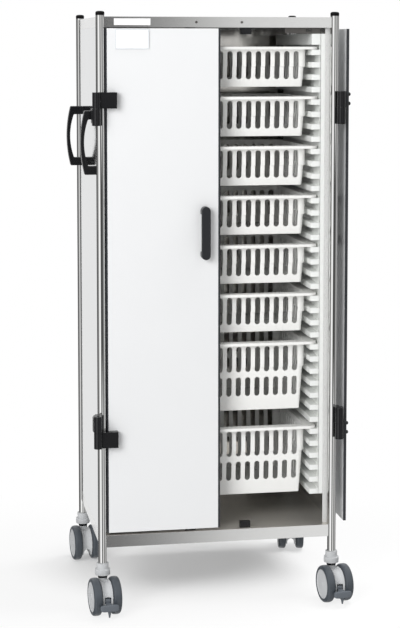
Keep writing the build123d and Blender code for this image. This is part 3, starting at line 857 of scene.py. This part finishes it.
# painted light: where the floor's own glow turns it into plain white, in shadow sizes from the centre of the
# shadow, and the share of glow on each side of that range; the two shares add up, and even at the centre some glow
# lies in the shadow
PAINTED_GLOW_RANGES = [((0.35, 1.0), (0.16, 0.8)), ((1.2, 2.2), (0.0, 0.2))]


def add_floor():
    """A white floor that takes the object's shadow near it and glows plain white further out; the glow is painted
    light, and a share of it lies in the shadow too.
    """
    bm = bmesh.new()
    bmesh.ops.create_circle(bm, cap_ends=True, radius=FLOOR_RADIUS, segments=128)
    floor = add_object("floor", bm)
    made = Shader("floor_paint", color=(0.93, 0.93, 0.93), roughness=0.6)
    made.set("Specular IOR Level", 0.2)
    made.tint(made.noise(scale=1.5), dark=0.995, light=1.005)
    place = made.node("ShaderNodeTexCoord")
    scaled = made.node("ShaderNodeMapping", vector_type="TEXTURE")
    scaled.inputs["Location"].default_value = SHADOW_CENTRE
    scaled.inputs["Scale"].default_value = SHADOW_SIZE
    made.link(place.outputs["Object"], scaled.inputs["Vector"])
    away = made.node("ShaderNodeVectorMath", operation="LENGTH")
    made.link(scaled.outputs["Vector"], away.inputs[0])
    total = made.node("ShaderNodeMath", operation="ADD")
    for socket, (distances, shares) in zip(total.inputs, PAINTED_GLOW_RANGES):
        share = made.ranged(
            away.outputs["Value"], distances, shares, interpolation_type="SMOOTHSTEP"
        )
        made.link(share, socket)
    # painted light: the floor glows by emission, the more the further it lies from the shadow oval
    painted_glow = made.node("ShaderNodeEmission")
    mix = made.node("ShaderNodeMixShader")
    made.link(total.outputs["Value"], mix.inputs["Fac"])
    made.link(made.shader.outputs["BSDF"], mix.inputs[1])
    made.link(painted_glow.outputs["Emission"], mix.inputs[2])
    made.link(mix.outputs["Shader"], made.tree.nodes["Material Output"].inputs["Surface"])
    floor.data.materials.append(made.material)
    floor.visible_glossy = False


# ---------------------------------------------------------------- studio
# tone of the walls by direction: 0 is towards the front, positive to the right
LEFT_TONES = [
    (-180, 0.86),
    (-166, 0.86),
    (-160, 0.06),
    (-135, 0.07),
    (-112, 0.09),
    (-97, 0.26),
    (-84, 0.26),
    (-76, 0.16),
    (-62, 0.85),
    (-45, 1.0),
    (-27, 1.0),
    (-16, 0.35),
    (-8, 0.05),
]
DARK_FRONT = [(8, 0.06), (30, 0.09)]
SCREEN_FRONT = [(7, 0.12), (9, 0.28), (11.2, 0.82), (24, 0.90), (32, 0.3)]
RIGHT_TONES = [
    (50, 0.14),
    (66, 0.45),
    (88, 0.50),
    (98, 0.15),
    (108, 0.06),
    (114, 0.06),
    (124, 0.50),
    (154, 0.50),
    (159, 0.08),
    (166, 0.86),
    (180, 0.86),
]
# a white screen stands at the front, with a dark strip across it just below the horizon
STRIP_TONES = LEFT_TONES + DARK_FRONT + RIGHT_TONES
SCREEN_TONES = LEFT_TONES + SCREEN_FRONT + RIGHT_TONES
STRIP_DROP = 0.13  # height of a direction is its Z, from -1 to 1; the strip lies this far down
STRIP_EDGE = (0.05, 0.09)  # the strip fades out between these heights from its middle
CEILING_EDGE = (0.15, 0.45)  # the walls fade into the ceiling between these heights
CEILING = 1.0
FILL = 0.30  # even light that matt surfaces get from all round
BACKDROP = 1.0  # what the camera sees behind the object

AREA_LIGHTS = [
    {
        "name": "key",
        "place": (-3.0, -3.6, 2.6),
        "aim": (0.0, -0.3, 0.9),
        "size": (2.6, 2.6),
        "power": 200,
    },
    {
        "name": "top",
        "place": (1.5, 0.1, 3.4),
        "aim": (0.3, -0.3, 0.0),
        "size": (2.0, 1.6),
        "power": 90,
    },
]

CAMERA_PLACE = (-0.8849, -4.9215, 1.622)
CAMERA_DOWN = 4.746  # degrees below the horizon
CAMERA_TURN = 10.065  # degrees from +Y towards +X
LENS = 95.345
LENS_SHIFT = -0.2


def add_area(name, place, aim, size, power):
    data = bpy.data.lights.new(name, "AREA")
    data.shape = "RECTANGLE"
    data.size, data.size_y = size
    data.energy = power
    light = bpy.data.objects.new(name, data)
    bpy.context.scene.collection.objects.link(light)
    light.location = place
    light.rotation_euler = (Vector(aim) - Vector(place)).to_track_quat("-Z", "Y").to_euler()
    light.visible_glossy = False


def add_world():
    """A studio of white and dark walls, so that polished steel shows dark edges."""
    world = bpy.data.worlds.new("studio")
    bpy.context.scene.world = world
    world.use_nodes = True
    tree = world.node_tree

    def set_input(socket, value):
        """Links an output, or sets a number as a value or a grey."""
        if not isinstance(value, float):
            tree.links.new(value, socket)
        elif socket.type == "RGBA":
            socket.default_value = (value, value, value, 1.0)
        else:
            socket.default_value = value

    def math_node(operation, *values):
        made = tree.nodes.new("ShaderNodeMath")
        made.operation = operation
        for socket, value in zip(made.inputs, values):
            set_input(socket, value)
        return made.outputs[0]

    def between(value, limits, curve="LINEAR"):
        """Rises from 0 to 1 between two limits."""
        made = tree.nodes.new("ShaderNodeMapRange")
        made.interpolation_type = curve
        made.inputs["From Min"].default_value, made.inputs["From Max"].default_value = limits
        tree.links.new(value, made.inputs["Value"])
        return made.outputs["Result"]

    def mixed(factor, first, second):
        made = tree.nodes.new("ShaderNodeMix")
        made.data_type = "RGBA"
        tree.links.new(factor, made.inputs["Factor"])
        set_input(made.inputs["A"], first)
        set_input(made.inputs["B"], second)
        return made.outputs["Result"]

    direction = tree.nodes.new("ShaderNodeTexCoord").outputs["Generated"]
    split = tree.nodes.new("ShaderNodeSeparateXYZ")
    tree.links.new(direction, split.inputs[0])
    forward = math_node("MULTIPLY", split.outputs["Y"], -1.0)
    turn = math_node("ARCTAN2", split.outputs["X"], forward)
    around = math_node("MULTIPLY_ADD", turn, 0.5 / math.pi, 0.5)

    def tone_ramp(tones):
        ramp = tree.nodes.new("ShaderNodeValToRGB")
        tree.links.new(around, ramp.inputs["Fac"])
        elements = ramp.color_ramp.elements
        while len(elements) > 1:
            elements.remove(elements[-1])
        for number, (degrees, level) in enumerate(tones):
            place = degrees / 360.0 + 0.5
            element = elements[0] if number == 0 else elements.new(place)
            element.position = place
            element.color = (level, level, level, 1.0)
        return ramp.outputs["Color"]

    from_strip = math_node("ABSOLUTE", math_node("ADD", split.outputs["Z"], STRIP_DROP))
    walls = mixed(between(from_strip, STRIP_EDGE), tone_ramp(STRIP_TONES), tone_ramp(SCREEN_TONES))
    path = tree.nodes.new("ShaderNodeLightPath")
    color = mixed(between(split.outputs["Z"], CEILING_EDGE, "SMOOTHSTEP"), walls, CEILING)
    color = mixed(path.outputs["Is Diffuse Ray"], color, FILL)
    color = mixed(path.outputs["Is Camera Ray"], color, BACKDROP)
    tree.links.new(color, tree.nodes["Background"].inputs["Color"])


def add_camera():
    data = bpy.data.cameras.new("camera")
    data.lens = LENS
    data.sensor_width = 36.0
    data.shift_y = LENS_SHIFT
    data.clip_end = 100.0
    camera = bpy.data.objects.new("camera", data)
    bpy.context.scene.collection.objects.link(camera)
    camera.location = CAMERA_PLACE
    camera.rotation_euler = (math.radians(90 - CAMERA_DOWN), 0.0, math.radians(-CAMERA_TURN))
    bpy.context.scene.camera = camera


add_floor()
add_world()
for light in AREA_LIGHTS:
    add_area(**light)
add_camera()
bpy.context.scene.view_settings.view_transform = "Standard"
